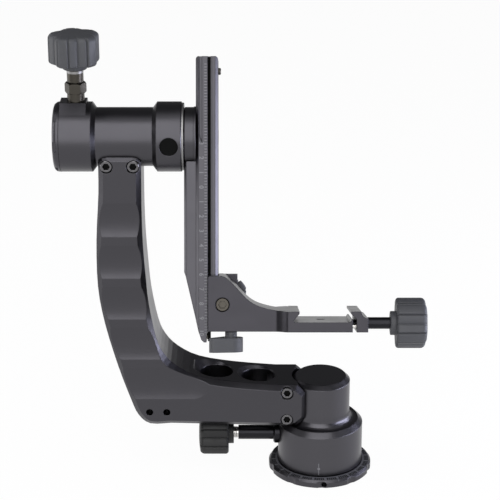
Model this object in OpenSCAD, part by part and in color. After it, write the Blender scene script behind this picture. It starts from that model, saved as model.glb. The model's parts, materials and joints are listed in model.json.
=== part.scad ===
// Gimbal tripod head: a side arm on a panning base carries a tilting rail,
// and a cradle with a dovetail clamp rides up and down that rail.
// Units are millimetres. The origin is the mouth of the tripod thread, and
// +Z is the pan axis. The swing parts are drawn tilted, as the head rests.

/* [Overall] */
// Height of the tilt axis above the tripod
tilt_z = 255; // [235:1:300]
// Angle that the rail leans back at rest, in degrees
swing_lean = 19; // [0:1:25]
// Distance from the pan axis to the middle of the rail
rail_offset = 81.2; // [78:0.2:90]
// Radial clearance of shafts that turn or slide
run_gap = 0.08; // [0.05:0.01:0.1]
// Gap between flat or round faces that pass each other
face_gap = 0.3; // [0.2:0.05:0.4]

/* [Panning base] */
// Radius of the index disc
disc_r = 37.6; // [36:0.2:42]
// Thickness of the index disc
disc_t = 5.8; // [5:0.1:8]
// Bevel round the disc's upper edge
disc_bevel = 1.7; // [0.5:0.1:2]
// Number of finger scallops round the disc
disc_scallops = 10; // [6:1:14]
// Depth of each finger scallop
disc_scallop_depth = 1.1; // [0.5:0.1:1.6]
// Core radius of the tripod thread
thread_r = 4.1; // [3:0.05:4.4]
// Depth of the tripod thread
thread_depth = 12; // [8:0.5:14]
// Outer radius of the thread insert
insert_r = 8; // [6.5:0.1:9]
// Radius of the pan spindle at the lower bearing
spindle_r = 12.5; // [11.5:0.1:12.6]
// Radius of the drum that the pan lock grips
pan_drum_r = 19; // [18:0.2:19.4]

/* [Pan housing] */
// Radius of the lower cylinder
pan_r = 30.9; // [29.5:0.1:33]
// Radius of the upper cylinder
pan_top_r = 21.2; // [20.5:0.1:22]
// Height of the shoulder between the two cylinders
pan_shoulder_z = 40; // [39:0.5:41]
// Height of the top of the housing
pan_top_z = 73; // [71:0.5:76]
// Width of the top chamfer
pan_chamfer = 3.1; // [1.5:0.1:3.5]
// Radius of the hollow between shoulder and upper cylinder
pan_cove = 5.7; // [3:0.1:5.8]
// Height of the pan lock above the tripod
pan_lock_z = 26.6; // [25:0.2:27]

/* [Side arm] */
// Distance from the pan axis to the outer side of the arm
arm_reach = 159; // [157:0.5:162]
// Width of the upright seen from the front
arm_w = 32; // [28:0.5:36]
// Depth of the arm from front to back
arm_d = 42; // [40:0.5:46]
// Height of the beam beside the pan housing
beam_h = 32.4; // [30:0.2:32.6]
// Width of the long edge chamfers
arm_chamfer = 3.6; // [2:0.1:4]
// Number of scallops on each broad side
scallop_n = 5; // [3:1:5]
// Distance from one scallop to the next
scallop_pitch = 31.2; // [29:0.2:32]
// Width of a scallop across its mouth
scallop_w = 24.8; // [18:0.2:26]
// Depth of a scallop
scallop_depth = 1.9; // [0.6:0.1:2]
// Radius of the lightening holes through the beam
beam_hole_r = 12; // [9:0.2:12.6]
// Distance between the two lightening holes
beam_hole_pitch = 30.4; // [28:0.2:33]
// Core radius of the two small accessory threads
accessory_r = 2.6; // [2:0.05:2.8]
// Distance between the two accessory threads
accessory_pitch = 12.4; // [10:0.2:14]
// Radius of the joint bolts
bolt_r = 2.5; // [2:0.1:2.6]

/* [Tilt housing] */
// Radius of the two end cylinders
hub_r = 24.3; // [23.6:0.1:26]
// Radius of the neck that sits in the arm
neck_r = 20.4; // [19.8:0.1:20.8]
// Length of the neck
neck_len = 38.9; // [38:0.5:42]
// Length of the cylinder beside the rail
hub_inner_len = 17.2; // [16:0.2:20]
// Length of the outer cylinder that carries the tilt lock
hub_outer_len = 21.8; // [19:0.1:24]
// Length of each sloping step between neck and cylinder
hub_step = 2.9; // [2:0.1:3.4]
// Thickness of the end cap
cap_t = 4.6; // [4:0.1:6]
// Number of spanner notches round the end cap
cap_notches = 7; // [4:1:9]
// Radius of the tilt shaft
shaft_r = 8.5; // [7.5:0.1:8.6]
// Radius of the drum that the tilt lock grips
tilt_drum_r = 16; // [14:0.2:16.4]
// Radius of the plugged port in the inner cylinder
port_r = 6.4; // [4:0.1:7]

/* [Rail] */
// Width of the rail seen from the front
rail_w = 15.2; // [14:0.2:16]
// Depth of the rail from front to back
rail_d = 30; // [28:0.5:31]
// Height of the rail above the tilt axis
rail_up = 54.5; // [48:0.5:70]
// Length of the rail below the tilt axis
rail_down = 141.6; // [139:0.5:146]
// Width of the clamping grooves
groove_w = 2.1; // [1.5:0.1:2.4]
// Depth of the clamping grooves
groove_depth = 3; // [2:0.1:3.5]
// Thickness of the spine behind the rail
spine_t = 8.2; // [7:0.1:8.4]
// Radius of the boss on the tilt shaft
boss_r = 20.8; // [19:0.1:22]

/* [Cradle] */
// Height of the bracket on the rail
bracket_h = 38; // [36:0.5:42]
// Distance from the tilt axis down to the bracket's foot
bracket_down = 133.6; // [128:0.2:134]
// Depth of the bracket in front of the rail's middle
bracket_front = 22; // [21:0.2:24]
// Height of the foot that reaches out to the clamp
foot_h = 14; // [12:0.5:16]
// Thickness of the clamp's floor
floor_t = 6.8; // [6:0.1:8]
// Width of a plate's dovetail at the clamp's floor
dovetail_w = 38; // [36:0.5:39]
// Depth of the dovetail channel
channel_h = 7.4; // [6:0.1:8]
// Length of the clamp from front to back
clamp_len = 56; // [50:1:70]
// Thickness of the moving jaw at its foot
jaw_t = 7.8; // [7:0.1:10]

/* [Knobs] */
// Radius of the large knobs
knob_r = 17.8; // [16:0.1:18]
// Length of the large knobs with their hub
knob_t = 25.6; // [22:0.2:27]
// Number of lobes on the large knobs
knob_lobes = 5; // [5:1:8]
// Depth of the scoops between the lobes
knob_scoop_depth = 2.6; // [1.6:0.1:3]
// Radius of the lock studs
stud_r = 4; // [3.5:0.1:4.2]
// Radius of the tapered hub at the foot of a knob
knob_hub_r = 8.4; // [7:0.1:9.5]
// Height of that hub
knob_hub_t = 3.8; // [3:0.1:5]
// Reach of the small lever under the bracket
lever_reach = 16.8; // [12:0.1:17.4]
// Radius of the small lever's hub
lever_hub_r = 8.2; // [7:0.1:9]
// Thickness of the small lever
lever_t = 9.8; // [8:0.2:12]

/* [Hidden] */
$fn = 96;

GRAPHITE = [0.29, 0.28, 0.30];
DARK = [0.17, 0.17, 0.19];
STEEL = [0.55, 0.53, 0.50];
BRIGHT = [0.80, 0.80, 0.82];
BRASS = [0.72, 0.58, 0.30];
KNOB = [0.21, 0.22, 0.25];

eps = 0.01;
seat_gap = 0.1;            // slip fit of bolted faces
lock_free = 0.6;           // a released shoe's distance from its drum

// panning base
housing_z = disc_t + face_gap;
pan_bore_r = pan_drum_r + 1;
drum_top = pan_lock_z + 3.4;
lower_bearing_z = drum_top + 3.5;
bearing_w = 7;
lower_ring_r = 18.5;       // outer radius of the lower bearing
upper_ring_r = 16;         // outer radius of the upper bearing
upper_spindle_r = 10;
ring_wall = 1.8;
upper_bearing_z = pan_top_z - 17;
insert_top = thread_depth + 3;
base_screw_pcd = 2 * (spindle_r + 3.3);
base_screw_r = 1.5;

// tilt housing, along X
rail_x1 = -rail_offset + rail_w / 2;
rail_x0 = rail_x1 - rail_w;
boss_x0 = rail_x0 - spine_t;
ring_t = 1.2;
arm_room = 1.5;            // the neck starts this far inside the arm's farthest point
hub_x1 = boss_x0 - face_gap - ring_t;
neck_x1 = hub_x1 - hub_inner_len - hub_step;
neck_x0 = min(neck_x1 - neck_len, -arm_reach + arm_room);
hub_x0 = neck_x0 - hub_step - hub_outer_len;
cap_x0 = hub_x0 - cap_t;
tilt_ring_r = 17.5;        // outer radius of the tilt bearings
tilt_bearing_w = 9.5;
tilt_bearing_xs = [neck_x0 - 4.8, hub_x1 - 3.4 - tilt_bearing_w];
tilt_bore_r = tilt_ring_r + 0.7;
tilt_lock_x = hub_x0 + hub_outer_len * 0.505;
tilt_drum_w = 11;
tilt_drum_x0 = tilt_bearing_xs[0] - 1 - tilt_drum_w;
pad_top = hub_r + 1.8;     // top of the lock's pad above the tilt axis
lock_sleeve_r = 6;
lock_sleeve_h = 5.7;
nut_h = 7.3;
nut_r = 7.5;
shank_gap = 0.8;
shank_r = 5.7;
shank_h = 8.8;

// side arm
arm_mid_x = -(arm_reach - arm_w / 2 - 1.8);
arm_top_z = tilt_z - 7.8;
beam_top_z = pan_top_z + 0.4;
beam_bottom_z = beam_top_z - beam_h;
beam_end_x = -11;
saddle_r = neck_r + seat_gap;
tenon_len = 18;
tenon_d = 25.8;
tenon_h = 24;
tenon_z = (beam_top_z + beam_bottom_z) / 2;
base_bolt_x = -25;
base_bolt_pitch = 21;
top_bolt_pitch = 18.4;
top_bolt_drop = 15.4;      // from the tilt axis down to the upper bolts
bolt_head_r = 1.72 * bolt_r;
bolt_head_h = 1.5 * bolt_r;
head_sink = 0.7;
accessory_x = -arm_reach + 41;
accessory_z = beam_bottom_z + 12;
scallop_top_z = tilt_z - 54.2;
scallop_r = scallop_w * scallop_w / (8 * scallop_depth) + scallop_depth / 2;
beam_hole_x = -45.8;
last_scallop_x = beam_hole_x - 47.2;

// locks
pan_shoe_tip = pan_drum_r + lock_free;
sleeve_r = 5.3;
sleeve_x1 = pan_r - 5;
sleeve_flange_r = 8;
sleeve_flange_t = 4.6;
spot_x = sqrt(pan_r * pan_r - sleeve_flange_r * sleeve_flange_r);
sleeve_end = spot_x + 30.4;
stud_show = 3.4;           // bright thread between sleeve and knob
pan_shoe_end = pan_shoe_tip + 11;
tilt_shoe_tip = tilt_drum_r + lock_free;
tilt_shoe_end = pad_top;

spigot_len = 16.5;         // how far each stud stands in its knob
scoop_half = 112.5 / knob_lobes;
scoop_floor = knob_r - knob_scoop_depth;
scoop_r = (scoop_floor * scoop_floor + knob_r * knob_r - 2 * scoop_floor * knob_r * cos(scoop_half))
    / (2 * (knob_r * cos(scoop_half) - scoop_floor));

// cradle, in the swing's own frame: X across, Y to the back, Z up the rail
bracket_x0 = rail_x0 + 8.4;
bracket_top = -bracket_down + bracket_h;
groove_x1 = rail_x1 - 5;
hook_t = groove_w - 0.6;
side_gap = 0.4;            // bracket to rail, all round
clamp_floor_z = -bracket_down + floor_t;
clamp_top_z = clamp_floor_z + channel_h;
dovetail_x1 = 16.2;
dovetail_x0 = dovetail_x1 - dovetail_w;
floor_x1 = dovetail_x1 + 2;
fixed_jaw_x0 = dovetail_x0 - 3.7;
jaw_gap = 2.7;
jaw_x0 = floor_x1 + jaw_gap;
jaw_x1 = jaw_x0 + jaw_t;
jaw_lip = 3.8;             // overhang of each jaw's lip
lens_axis_z = -bracket_down + 4.2;
lens_thread_r = 2;
lens_shank_r = 4.1;
lens_shank_len = 17;
clamp_screw_z = -bracket_down + bracket_h * 0.485;
clamp_screw_x = rail_x1 + bolt_r + 0.6;
rear_face = rail_d / 2 + 0.5;
rear_jaw_t = 6.8;
rear_jaw_x1 = clamp_screw_x + 10;
stop_screw_r = 1.5;
lever_x = rail_x1 + 8.9;
lever_y = -(rail_d / 2 + 2.5);
lever_screw_r = 2.4;
lever_neck = 4.2;
lever_neck_r = 4.1;
lever_tip_r = 3.2;
lever_angle = 211;         // at rest, seen from above: its side just clears the rail

// ---- shared shapes ----

module along_x(x) translate([x, 0, 0]) rotate([0, 90, 0]) children();

module along_y(y) translate([0, y, 0]) rotate([-90, 0, 0]) children();

module ring(r_out, r_in, h) {
    difference() {
        cylinder(r = r_out, h = h);
        translate([0, 0, -eps]) cylinder(r = r_in, h = h + 2 * eps);
    }
}

// Places the swing's own frame on the tilt axis, leaning back
module swing_frame() translate([0, 0, tilt_z]) rotate([-swing_lean, 0, 0]) children();

// Cap screw along +Z: its head's seat is at z = 0 and the head is above it
module cap_screw(r, shank, head_r = bolt_head_r, head_h = bolt_head_h) {
    difference() {
        union() {
            translate([0, 0, -shank]) cylinder(r = r, h = shank + eps);
            cylinder(r = head_r, h = head_h - 0.5);
            translate([0, 0, head_h - 0.5]) cylinder(r1 = head_r, r2 = head_r - 0.5, h = 0.5);
        }
        translate([0, 0, head_h * 0.2]) cylinder(r = head_r * 0.61, h = head_h, $fn = 6);
    }
}

module screw_pocket(r, shank, head_r = bolt_head_r + 0.3, depth = bolt_head_h + head_sink) {
    translate([0, 0, -shank - 1]) cylinder(r = r, h = shank + 1 + eps);
    cylinder(r = head_r, h = depth + 5);
}

function ball_count(r_mid, r_ball) = floor(2 * PI * r_mid / (2.25 * r_ball));

// Ring of bearing balls round Z between two races
module balls(race_in, race_out) {
    r_mid = (race_in + race_out) / 2;
    r_ball = (race_out - race_in) / 2 - 0.1;
    n = ball_count(r_mid, r_ball);
    for (i = [0 : n - 1]) rotate([0, 0, i * 360 / n]) translate([r_mid, 0, 0]) sphere(r = r_ball, $fn = 24);
}

// Rounded body of a large knob over its tapered hub, standing on z = 0
module knob_body() {
    edge = 2.4;
    top = 3;
    dome = 0.8;
    rotate_extrude() polygon(concat(
        [[0, 0], [knob_hub_r, 0], [knob_r - 5.2, knob_hub_t]],
        [for (a = [-90 : 15 : 0]) [knob_r - edge + edge * cos(a), knob_hub_t + edge + edge * sin(a)]],
        [for (a = [0 : 15 : 75]) [knob_r - top + top * cos(a), knob_t - dome - top + top * sin(a)]],
        [[knob_r - 6, knob_t - dome * 0.6], [0, knob_t]]
    ));
}

// Lobed grip: wide hollow scoops between rounded lobes, turned by an angle
module lobed_knob(turn) {
    difference() {
        knob_body();
        for (i = [0 : knob_lobes - 1]) rotate(turn + i * 360 / knob_lobes)
            translate([scoop_floor + scoop_r, 0, -1]) cylinder(r = scoop_r, h = knob_t + 2, $fn = 144);
        translate([0, 0, -1]) cylinder(r = stud_r, h = spigot_len + 1);
    }
}

// Stud along +Z: thread below z = 0, spigot inside the knob above it
module lock_stud(thread_len, bore = 0) {
    difference() {
        translate([0, 0, -thread_len]) cylinder(r = stud_r, h = thread_len + spigot_len);
        if (bore > 0) translate([0, 0, -thread_len - 1]) cylinder(r = bore, h = thread_len + spigot_len - 1);
    }
}

// ---- panning base ----

module base_plate() color(GRAPHITE) {
    scoop_r = 40;
    difference() {
        union() {
            cylinder(r1 = disc_r - 0.5, r2 = disc_r, h = 0.5);
            translate([0, 0, 0.5]) cylinder(r = disc_r, h = disc_t - disc_bevel - 0.5);
            translate([0, 0, disc_t - disc_bevel]) cylinder(r1 = disc_r, r2 = disc_r - disc_bevel, h = disc_bevel);
        }
        for (i = [0 : disc_scallops - 1]) rotate([0, 0, 90 + i * 360 / disc_scallops])
            translate([-(disc_r - disc_scallop_depth + 9), 0, -1]) cylinder(r = 9, h = disc_t + 2);
        translate([0, 0, -1]) cylinder(r = insert_r, h = disc_t + 2);
        for (i = [0 : 3]) rotate([0, 0, 45 + i * 90]) translate([base_screw_pcd / 2, 0, 0]) {
            translate([0, 0, -1]) cylinder(r = base_screw_r + 0.1, h = disc_t + 2);
            translate([0, 0, -eps]) cylinder(r1 = 2.95, r2 = base_screw_r, h = 1.45);
        }
        rotate([0, 0, 3]) translate([0, 0, disc_t / 2 - 0.3]) rotate([90, 0, 0])
            translate([0, 0, disc_r - 12]) cylinder(r = 2, h = 15);
    }
}

module rim_grub_screw() color(DARK)
    rotate([0, 0, 3]) translate([0, 0, disc_t / 2 - 0.3]) rotate([90, 0, 0]) difference() {
        translate([0, 0, disc_r - 12]) cylinder(r = 2, h = 8);
        translate([0, 0, disc_r - 6]) cylinder(r = 1.1, h = 5, $fn = 6);
    }

module thread_insert() color(STEEL) ring_blind(insert_r, thread_r, insert_top, thread_depth);

module ring_blind(r_out, r_in, h, depth) {
    difference() {
        cylinder(r = r_out, h = h);
        translate([0, 0, -1]) cylinder(r = r_in, h = depth + 1);
    }
}

module base_screws() color(STEEL)
    for (i = [0 : 3]) rotate([0, 0, 45 + i * 90]) translate([base_screw_pcd / 2, 0, 0]) difference() {
        union() {
            cylinder(r1 = 2.8, r2 = base_screw_r, h = 1.4);
            translate([0, 0, 1.3]) cylinder(r = base_screw_r, h = 10);
        }
        translate([0, 0, -1]) cylinder(r = 1.1, h = 1.8, $fn = 6);
    }

module pan_lock_drum() color(STEEL) difference() {
    union() {
        translate([0, 0, disc_t]) cylinder(r = pan_drum_r, h = drum_top - disc_t);
        translate([0, 0, drum_top - eps]) cylinder(r = spindle_r + ring_wall, h = lower_bearing_z - drum_top);
    }
    cylinder(r = spindle_r, h = lower_bearing_z + 1);
    for (i = [0 : 3]) rotate([0, 0, 45 + i * 90]) translate([base_screw_pcd / 2, 0, 0])
        cylinder(r = base_screw_r, h = disc_t + 6.5);
}

module pan_spindle() color(STEEL) difference() {
    union() {
        translate([0, 0, disc_t]) cylinder(r = spindle_r, h = lower_bearing_z + bearing_w - disc_t);
        cylinder_up(spindle_r - 1, lower_bearing_z + bearing_w, upper_bearing_z);
        cylinder_up(upper_spindle_r, upper_bearing_z, upper_bearing_z + bearing_w + 4);
    }
    cylinder(r = insert_r, h = insert_top);
}

module cylinder_up(r, z0, z1) translate([0, 0, z0 - eps]) cylinder(r = r, h = z1 - z0 + eps);

module pan_bearing_inner_rings() color(BRIGHT) {
    translate([0, 0, lower_bearing_z]) ring(spindle_r + ring_wall, spindle_r, bearing_w);
    translate([0, 0, upper_bearing_z]) ring(upper_spindle_r + ring_wall, upper_spindle_r, bearing_w);
}

module pan_bearing_outer_rings() color(BRIGHT) {
    translate([0, 0, lower_bearing_z]) ring(lower_ring_r, lower_ring_r - ring_wall, bearing_w);
    translate([0, 0, upper_bearing_z]) ring(upper_ring_r, upper_ring_r - ring_wall, bearing_w);
}

module pan_bearing_balls() color(STEEL) {
    translate([0, 0, lower_bearing_z + bearing_w / 2]) balls(spindle_r + ring_wall, lower_ring_r - ring_wall);
    translate([0, 0, upper_bearing_z + bearing_w / 2]) balls(upper_spindle_r + ring_wall, upper_ring_r - ring_wall);
}

module spindle_nut() color(STEEL)
    translate([0, 0, upper_bearing_z + bearing_w]) ring(upper_spindle_r + ring_wall, upper_spindle_r, 3.5);

module bearing_retainer() color(STEEL)
    translate([0, 0, drum_top + 0.8]) ring(pan_bore_r, spindle_r + ring_wall + 0.6, lower_bearing_z - drum_top - 0.8);

// ---- pan housing ----

// Hollow that runs up from just below the shoulder into the upper cylinder
function cove_points() = [for (a = [0 : 15 : 90])
    [pan_top_r + pan_cove * (1 - sin(a)), pan_shoulder_z - 0.6 + pan_cove * (1 - cos(a))]];

module pan_housing() color(GRAPHITE) difference() {
    union() {
        rotate_extrude() polygon(concat(
            [[0, housing_z], [pan_r - 0.4, housing_z], [pan_r, housing_z + 0.4]],
            [[pan_r, pan_shoulder_z - 3.6], [pan_r - 3.6, pan_shoulder_z]],
            cove_points(),
            [[pan_top_r, pan_top_z - pan_chamfer], [pan_top_r - pan_chamfer, pan_top_z], [0, pan_top_z]]
        ));
        translate([-pan_top_r - tenon_len, -tenon_d / 2, tenon_z - tenon_h / 2])
            cube([tenon_len + 8, tenon_d, tenon_h]);
    }
    cylinder(r = pan_bore_r, h = lower_bearing_z);
    cylinder(r = lower_ring_r, h = lower_bearing_z + bearing_w);
    cylinder(r = upper_ring_r, h = upper_bearing_z + bearing_w + 4.5);
    translate([0, 0, pan_lock_z]) rotate([0, -90, 0]) {
        cylinder(r = stud_r + run_gap, h = pan_r + 5);
        translate([0, 0, sleeve_x1 - 1.5]) cylinder(r = sleeve_r, h = 20);
        translate([0, 0, spot_x]) cylinder(r = sleeve_flange_r + 0.2, h = 20);
    }
    base_bolt_places() screw_pocket(bolt_r, 14);
}

module pan_lock_sleeve() color(DARK) translate([0, 0, pan_lock_z]) rotate([0, -90, 0]) difference() {
    union() {
        translate([0, 0, sleeve_x1 - 1.5]) cylinder(r = sleeve_r, h = sleeve_end - sleeve_x1 + 1.5);
        translate([0, 0, spot_x]) cylinder(r = sleeve_flange_r, h = sleeve_flange_t - 1);
        translate([0, 0, spot_x + sleeve_flange_t - 1])
            cylinder(r1 = sleeve_flange_r, r2 = sleeve_flange_r - 1, h = 1);
    }
    cylinder(r = stud_r + run_gap, h = sleeve_end + 1);
}

// Bolts that hold the arm to the pan housing, from the front and the back
module base_bolt_places() for (side = [0, 1], k = [-0.5, 0.5])
    mirror([0, side, 0])
        translate([base_bolt_x, -arm_d / 2 + bolt_head_h + head_sink, tenon_z + k * base_bolt_pitch])
            rotate([90, 0, 0]) children();

module top_bolt_places() for (side = [0, 1], k = [-0.5, 0.5])
    mirror([0, side, 0])
        translate([arm_mid_x + k * top_bolt_pitch, -arm_d / 2 + bolt_head_h + head_sink, tilt_z - top_bolt_drop])
            rotate([90, 0, 0]) children();

module arm_base_bolts() color(STEEL) base_bolt_places() cap_screw(bolt_r, 13);

module arm_top_bolts() color(STEEL) top_bolt_places() cap_screw(bolt_r, 11);

// ---- side arm ----

function curve_at(a, b, c, d, t) =
    0.5 * (2 * b + (c - a) * t + (2 * a - 5 * b + 4 * c - d) * t * t + (3 * b - a - 3 * c + d) * t * t * t);

// Smooth curve through a list of points, with n steps between neighbours
function smooth(pts, n) = concat([for (i = [0 : len(pts) - 2], k = [0 : n - 1])
    curve_at(pts[max(i - 1, 0)], pts[i], pts[i + 1], pts[min(i + 2, len(pts) - 1)], k / n)],
    [pts[len(pts) - 1]]);

function unit(v) = v / norm(v);
function left_of(v) = [-v[1], v[0]];

// Outline moved inwards by c, edge by edge
function inset(pts, c) = [for (i = [0 : len(pts) - 1])
    let (n = len(pts),
         a = left_of(unit(pts[i] - pts[(i + n - 1) % n])),
         b = left_of(unit(pts[(i + 1) % n] - pts[i])))
    pts[i] + c * (a + b) / (1 + a * b)];

function reversed(v) = [for (i = [len(v) - 1 : -1 : 0]) v[i]];

// Bent bar in the XZ plane, centred on Y = 0, with every long edge chamfered.
// Its two sides are lists of as many points, both from the top to the far end.
module chamfered_bar(outer, inner, depth, c) {
    pts = concat(outer, reversed(inner));
    in_pts = inset(pts, c);
    n = len(pts);
    h = depth / 2;
    rings = concat(
        [for (p = in_pts) [p[0], -h, p[1]]],
        [for (p = pts) [p[0], -h + c, p[1]]],
        [for (p = pts) [p[0], h - c, p[1]]],
        [for (p = in_pts) [p[0], h, p[1]]]
    );
    sides = [for (r = [0 : 2], i = [0 : n - 1])
        [r * n + i, r * n + (i + 1) % n, (r + 1) * n + (i + 1) % n, (r + 1) * n + i]];
    front = [for (i = [0 : len(outer) - 2]) [n - 1 - i, n - 2 - i, i + 1, i]];
    back = [for (f = front) [for (k = reversed(f)) 3 * n + k]];
    polyhedron(points = rings, faces = concat(front, back, sides), convexity = 8);
}

// The arm's outer side, from its top down and round into the beam's underside.
// Each point is its height between beam and top as a share, and its distance
// inwards from the arm's outermost line.
outer_form = [[0.84, 2.6], [0.64, 0.2], [0.44, 0.2], [0.275, 4.4], [0.085, 12.9]];
arm_rise = arm_top_z - beam_top_z;
outer_side = smooth(concat(
    [[-arm_reach + 3, arm_top_z - 5]],
    [for (p = outer_form) [-arm_reach + p[1], beam_top_z + p[0] * arm_rise]],
    [[-arm_reach + 21.4, beam_bottom_z + 21], [-arm_reach + 26.6, beam_bottom_z + 8.5],
     [-arm_reach + 35, beam_bottom_z + 1.4], [-arm_reach + 50, beam_bottom_z + 1.8]]), 3);
// The arm's inner side, from its top down to the beam's upper side
inner_form = [[0.76, 0.2], [0.62, 0.6], [0.5, 1.8], [0.36, 3.8], [0.215, 8.4], [0.145, 13.4]];
inner_x = -arm_reach + arm_w;
beam_x1 = -33;
inner_side = smooth(concat(
    [[inner_x + 0.6, arm_top_z - 5]],
    [for (p = inner_form) [inner_x + p[1], beam_top_z + p[0] * arm_rise]],
    [[inner_x + 22.4, beam_top_z + 15.4], [inner_x + 38, beam_top_z + 7.2],
     [beam_x1 - 30, beam_top_z + 2.6], [beam_x1, beam_top_z]]), 3);
arm_outer = concat(
    [[-arm_reach + 8.6, arm_top_z], [-arm_reach + 4.8, arm_top_z - 1.4]],
    outer_side,
    [for (s = [0.34, 0.67]) outer_side[len(outer_side) - 1] * (1 - s) + [beam_x1, beam_bottom_z] * s],
    [[beam_x1, beam_bottom_z], [beam_end_x - 7, beam_bottom_z], [beam_end_x, beam_bottom_z + 6]]);
arm_inner = concat(
    [[inner_x - 4.8, arm_top_z], [inner_x - 1.2, arm_top_z - 1.4]],
    inner_side,
    [[beam_end_x - 7, beam_top_z], [beam_end_x, beam_top_z - 6]]);

// Shallow trough across one broad side, cut by a round bar along X
module scallop(z, x1, ball_end) translate([0, -arm_d / 2 - scallop_r + scallop_depth, z]) {
    along_x(-arm_reach - 10) cylinder(r = scallop_r, h = x1 + arm_reach + 10, $fn = 180);
    if (ball_end) translate([x1, 0, 0]) sphere(r = scallop_r, $fn = 180);
}

module scallops() for (side = [0, 1]) mirror([0, side, 0]) for (i = [0 : scallop_n - 1])
    scallop(scallop_top_z - i * scallop_pitch, i == scallop_n - 1 ? last_scallop_x : inner_x + 27,
        i == scallop_n - 1);

module arm() color(GRAPHITE) difference() {
    chamfered_bar(arm_outer, arm_inner, arm_d, arm_chamfer);
    scallops();
    translate([0, 0, tilt_z]) along_x(-arm_reach - 5) cylinder(r = saddle_r, h = arm_w + 30);
    cylinder(r = pan_top_r + 0.15, h = beam_top_z + 5);
    translate([0, 0, 0.2]) rotate_extrude() translate([0.2, 0]) polygon(concat(
        [[0, pan_shoulder_z - 5], [pan_top_r + pan_cove, pan_shoulder_z - 5]], cove_points(),
        [[0, pan_shoulder_z - 0.6 + pan_cove]]));
    translate([-pan_top_r - tenon_len - seat_gap, -tenon_d / 2 - seat_gap, tenon_z - tenon_h / 2 - seat_gap])
        cube([tenon_len + 20, tenon_d + 2 * seat_gap, tenon_h + 2 * seat_gap]);
    for (i = [0, 1]) translate([beam_hole_x - i * beam_hole_pitch, 0, 0]) {
        translate([0, 0, beam_bottom_z - 5]) cylinder(r = beam_hole_r, h = beam_h + 20);
        translate([0, 0, beam_top_z + i * 3.1 - 0.8]) cylinder(r1 = beam_hole_r, r2 = beam_hole_r + 6, h = 6);
    }
    for (k = [-0.5, 0.5]) translate([accessory_x + k * accessory_pitch, 0, accessory_z])
        along_y(-arm_d) cylinder(r = accessory_r, h = 2 * arm_d);
    base_bolt_places() screw_pocket(bolt_r + 0.1, 20);
    top_bolt_places() screw_pocket(bolt_r + 0.1, 20);
    translate([0, 0, pan_lock_z]) along_x(-sleeve_end - stud_show - knob_t - 4)
        cylinder(r = knob_r + 1.2, h = knob_t + 6);
}

// ---- tilt housing ----

module tilt_axis() translate([0, 0, tilt_z]) rotate([0, 90, 0]) children();

module tilt_housing() color(GRAPHITE) difference() {
    union() {
        tilt_axis() rotate_extrude() polygon([
            [0, hub_x0], [hub_r, hub_x0], [hub_r, neck_x0 - hub_step], [neck_r, neck_x0],
            [neck_r, neck_x1], [hub_r, neck_x1 + hub_step], [hub_r, hub_x1 - 0.6], [hub_r - 0.6, hub_x1],
            [0, hub_x1]]);
        translate([hub_x0 + 0.2, 0, tilt_z]) rotate([90, 0, 90]) linear_extrude(18.2)
            polygon([[-15.2, 18.9], [0, 10], [15.2, 18.9], [6.6, pad_top], [-6.6, pad_top]]);
    }
    tilt_axis() {
        translate([0, 0, hub_x0 - 1]) cylinder(r = tilt_bore_r, h = tilt_bearing_xs[0] - hub_x0 + 1);
        translate([0, 0, hub_x0]) cylinder(r = tilt_ring_r, h = tilt_bearing_xs[0] + tilt_bearing_w - hub_x0);
        translate([0, 0, hub_x0]) cylinder(r = shaft_r + 1.2, h = hub_x1 - hub_x0 + 1);
        translate([0, 0, tilt_bearing_xs[1]]) cylinder(r = tilt_ring_r, h = 40);
    }
    translate([tilt_lock_x, 0, tilt_z]) cylinder(r = stud_r + run_gap, h = pad_top + 5);
    translate([(neck_x1 + hub_step + hub_x1) / 2, -hub_r - 1, tilt_z]) along_y(0) cylinder(r = port_r, h = 6);
    top_bolt_places() screw_pocket(bolt_r, 12);
}

module tilt_end_cap() color(GRAPHITE) difference() {
    tilt_axis() rotate_extrude() polygon(concat(
        [[0, cap_x0]],
        [for (a = [90 : -15 : 0]) [hub_r - 3.4 + 3.4 * cos(a), cap_x0 + 3.4 - 3.4 * sin(a)]],
        [[hub_r, hub_x0], [tilt_bore_r - 0.05, hub_x0], [tilt_bore_r - 0.05, hub_x0 + 2], [0, hub_x0 + 2]]));
    tilt_axis() for (i = [0 : cap_notches - 1]) rotate([0, 0, -25 + i * 360 / cap_notches])
        translate([-3.4, hub_r - 1.8, cap_x0 - 1]) cube([6.8, 5, 4]);
    tilt_axis() translate([0, 0, hub_x0 - 0.9]) cylinder(r = 13.5, h = 4);
}

module tilt_bearing_outer_rings() color(BRIGHT) tilt_axis() for (x = tilt_bearing_xs)
    translate([0, 0, x]) ring(tilt_ring_r, tilt_ring_r - 2.4, tilt_bearing_w);

module tilt_bearing_inner_rings() color(BRIGHT) tilt_axis() for (x = tilt_bearing_xs)
    translate([0, 0, x]) ring(shaft_r + 2.1, shaft_r, tilt_bearing_w);

module tilt_bearing_balls() color(STEEL) tilt_axis() for (x = tilt_bearing_xs)
    translate([0, 0, x + tilt_bearing_w / 2]) balls(shaft_r + 2.1, tilt_ring_r - 2.4);

module tilt_seal_ring() color(BRIGHT) tilt_axis() translate([0, 0, hub_x1])
    ring(hub_r - 0.9, boss_r - 6, ring_t);

module port_plug() color(DARK) translate([(neck_x1 + hub_step + hub_x1) / 2, -hub_r - 1, tilt_z])
    along_y(1.9) cylinder(r = port_r, h = 3.1);

module tilt_lock_sleeve() color(STEEL)
    translate([tilt_lock_x, 0, tilt_z + pad_top]) ring(lock_sleeve_r, stud_r + run_gap, lock_sleeve_h);

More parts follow.
